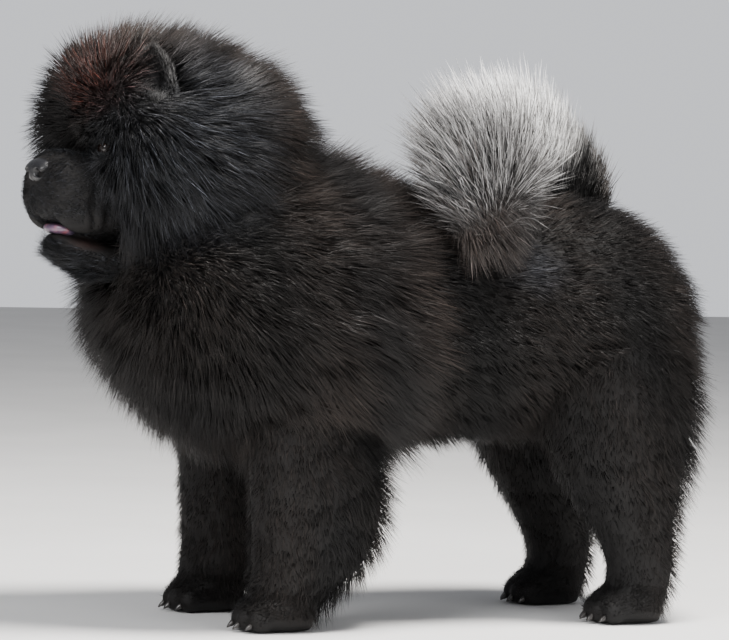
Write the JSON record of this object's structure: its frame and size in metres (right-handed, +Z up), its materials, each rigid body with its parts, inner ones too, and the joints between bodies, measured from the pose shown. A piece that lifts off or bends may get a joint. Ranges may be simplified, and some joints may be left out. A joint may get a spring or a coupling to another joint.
{
  "type": "chow chow",
  "caption": "Life-size still model of a standing black rough-coated chow chow with a full ruff and mane, and a silver-tipped tail curled over its back.",
  "frame": {"origin": "on the floor, under the middle of the whole dog's bounding box", "axes": "+Z up, +X to the dog's left, -Y towards the nose"},
  "size_m": [0.4378, 0.8714, 0.724],
  "materials": {
    "coat": "dense harsh black fur, soft sheen, brown-grey where light comes through the tips",
    "short_fur": "short close black fur",
    "plume": "long straight silver-grey and white hair over black",
    "nose_leather": "fine-grained black nose pad, moist gloss",
    "tongue": "blue-black tongue, moist",
    "eye": "very dark brown eye, clear gloss",
    "claw": "blunt black horn",
    "mouth": "blue-black gums and lips with a moist sheen"
  },
  "bodies": {
    "root": {"head": "coat", "muzzle": "short_fur", "lower_jaw": "short_fur", "nose": "nose_leather", "tongue": "tongue", "eye_left": "eye", "eye_right": "eye", "ear_left": "short_fur", "ear_right": "short_fur", "neck": "coat", "torso": "coat", "tail": "plume", "leg_front_left": "coat", "leg_front_right": "coat", "leg_hind_left": "coat", "leg_hind_right": "coat", "paw_front_left": "short_fur", "paw_front_right": "short_fur", "paw_hind_left": "short_fur", "paw_hind_right": "short_fur"}
  },
  "joints": []
}
